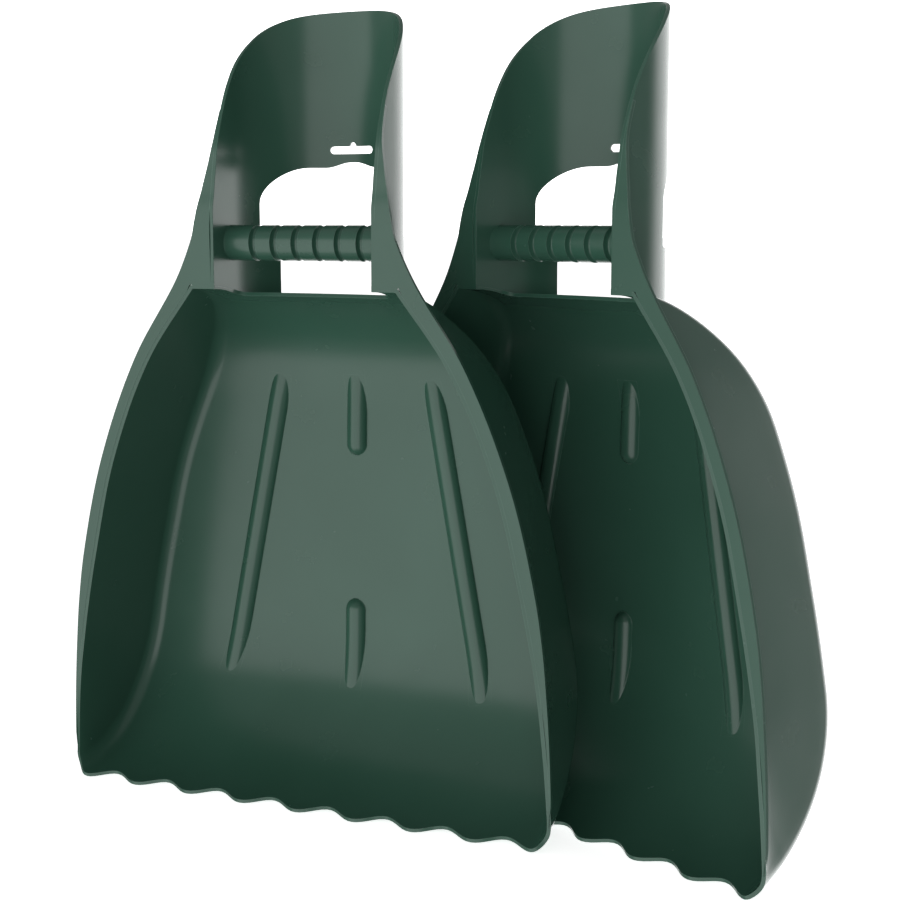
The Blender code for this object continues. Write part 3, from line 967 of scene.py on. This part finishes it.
def hand_matrix(mounts, low_x, high_x):
    """Place of a hand's own frame, from its two flange mounts."""
    a = Vector(mounts[low_x]["pos_m"])
    b = Vector(mounts[high_x]["pos_m"])
    across = (b - a).normalized()
    turn = math.atan2(across.y, across.x)
    middle = (a + b) / 2
    return Matrix.Translation(middle - Vector((0, 0, MOUNT_HEIGHT))) @ Matrix.Rotation(turn, 4, "Z")


def put(source, name, matrix, body, node, material):
    """Place a copy of a piece on a hand, as the look of one CAD node."""
    mesh = source.data.copy()
    mesh.transform(matrix)
    mesh.materials.clear()
    mesh.materials.append(material)
    piece = bpy.data.objects.new(name, mesh)
    bpy.context.scene.collection.objects.link(piece)
    for old in source.modifiers:
        new = piece.modifiers.new(old.name, old.type)
        new.keep_sharp = True
    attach(piece, body)
    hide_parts(node)
    return piece


def build_pair():
    bowl = make_bowl()
    ribs = [make_rib(a * MM, b * MM, c * MM, d * MM, fade) for a, b, c, d, fade in RIBS]
    bowl = join([bowl] + ribs)
    low_flange = make_flange(-1)
    high_flange = make_flange(1)
    guard = make_guard()
    bar = make_bar()
    mounts = {m["name"]: m for m in frame["record"]["mounts"]}
    hands = (("left", "left_outer_flange", "left_inner_flange"),
             ("right", "right_inner_flange", "right_outer_flange"))
    for number, (hand, low_name, high_name) in enumerate(hands):
        matrix = hand_matrix(mounts, low_name + "_face", high_name + "_face")
        body = hand + "_hand"
        front = matrix.to_3x3() @ Vector((0, -1, 0))
        material = moulded_green(hand + "_green", FIRST_SEED + SEED_STEP * number, front)
        put(bowl, hand + "_bowl_shell", matrix, body, hand + "_bowl", material)
        put(low_flange, low_name + "_plate", matrix, body, low_name, material)
        put(high_flange, high_name + "_plate", matrix, body, high_name, material)
        put(guard, hand + "_guard_shell", matrix, body, hand + "_arm_guard", material)
        put(bar, hand + "_bar", matrix, body, hand + "_grip_bar", material)
    for item in (bowl, low_flange, high_flange, guard, bar):
        bpy.data.objects.remove(item)


build_pair()


# ---------------------------------------------------------------- studio

CAMERA_PLACE = (0.4707, -0.8753, -0.0410)
CAMERA_PITCH = 7.89
CAMERA_YAW = 24.96
LENS = 66.3
SENSOR = 36
CLIP_START = 0.01


def make_camera():
    data = bpy.data.cameras.new("camera")
    data.lens = LENS
    data.sensor_width = SENSOR
    data.clip_start = CLIP_START
    camera = bpy.data.objects.new("camera", data)
    camera.location = CAMERA_PLACE
    camera.rotation_euler = (math.radians(90 - CAMERA_PITCH), 0, math.radians(CAMERA_YAW))
    bpy.context.scene.collection.objects.link(camera)
    bpy.context.scene.camera = camera


FLOOR_GLOW = 0.8
FLOOR_HALF = 30
FLOOR_GAP = 0.5 * MM
FLOOR_WHITE = (0.93, 0.93, 0.93, 1.0)
FLOOR_ROUGHNESS = 0.9


def make_floor():
    """A wide white floor just under the hands, seen but kept out of their light and shadows."""
    low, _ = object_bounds()
    size = FLOOR_HALF
    mesh = bpy.data.meshes.new("floor")
    z = low.z - FLOOR_GAP
    mesh.from_pydata([(-size, -size, z), (size, -size, z), (size, size, z), (-size, size, z)], [],
                     [(0, 1, 2, 3)])
    floor = bpy.data.objects.new("floor", mesh)
    bpy.context.scene.collection.objects.link(floor)
    material = bpy.data.materials.new("floor")
    material.use_nodes = True
    shader = material.node_tree.nodes["Principled BSDF"]
    shader.inputs["Base Color"].default_value = FLOOR_WHITE
    shader.inputs["Roughness"].default_value = FLOOR_ROUGHNESS
    shader.inputs["Specular IOR Level"].default_value = 0.0
    shader.inputs["Emission Color"].default_value = (1, 1, 1, 1)
    shader.inputs["Emission Strength"].default_value = FLOOR_GLOW
    mesh.materials.append(material)
    floor.visible_diffuse = False
    floor.visible_glossy = False
    floor.visible_shadow = False


# Light by direction: azimuth from -Y towards +X and elevation, in degrees
PANEL_AZIMUTH = (-58, 35)
PANEL_ELEVATION = (-50, 22)
PANEL_EDGE = 4
PANEL_LIGHT = 1.62
BACK_AZIMUTH = 136
BACK_EDGE = 11
BACK_LIGHT = 2.3
BACK_ELEVATION = 18
ROOM_LIGHT = 0.34


def make_world():
    """White to the camera, a large soft panel in front, a bright back and dim light elsewhere."""
    world = bpy.data.worlds.new("studio")
    world.use_nodes = True
    tree = world.node_tree
    links = tree.links
    place = tree.nodes.new("ShaderNodeTexCoord")
    axes = tree.nodes.new("ShaderNodeSeparateXYZ")
    links.new(place.outputs["Generated"], axes.inputs["Vector"])

    def step(value, middle, edge):
        node = tree.nodes.new("ShaderNodeMapRange")
        node.interpolation_type = "SMOOTHSTEP"
        node.inputs["From Min"].default_value = math.radians(middle - edge)
        node.inputs["From Max"].default_value = math.radians(middle + edge)
        links.new(value, node.inputs["Value"])
        return node.outputs["Result"]

    forward = add_math(tree, "MULTIPLY", axes.outputs["Y"], -1.0)
    azimuth = add_math(tree, "ARCTAN2", axes.outputs["X"], forward)
    elevation = add_math(tree, "ARCSINE", axes.outputs["Z"])
    mask = None
    for value, (low, high) in ((azimuth, PANEL_AZIMUTH), (elevation, PANEL_ELEVATION)):
        inside = add_math(tree, "SUBTRACT", step(value, low, PANEL_EDGE),
                          step(value, high, PANEL_EDGE))
        mask = inside if mask is None else add_math(tree, "MULTIPLY", mask, inside)
    behind = step(add_math(tree, "ABSOLUTE", azimuth), BACK_AZIMUTH, BACK_EDGE)
    below = add_math(tree, "SUBTRACT", 1.0, step(elevation, BACK_ELEVATION, BACK_EDGE))
    behind = add_math(tree, "MULTIPLY", behind, below)
    panel = add_math(tree, "MULTIPLY", mask, PANEL_LIGHT - ROOM_LIGHT)
    back = add_math(tree, "MULTIPLY", behind, BACK_LIGHT - ROOM_LIGHT)
    light = add_math(tree, "ADD", panel, ROOM_LIGHT)
    light = add_math(tree, "ADD", light, back)
    path = tree.nodes.new("ShaderNodeLightPath")
    seen = path.outputs["Is Camera Ray"]
    light = add_math(tree, "MAXIMUM", light, seen)
    links.new(light, tree.nodes["Background"].inputs["Strength"])
    tree.nodes["Background"].inputs["Color"].default_value = (1, 1, 1, 1)
    bpy.context.scene.world = world


make_camera()
make_floor()
make_world()
bpy.context.scene.view_settings.view_transform = "Standard"
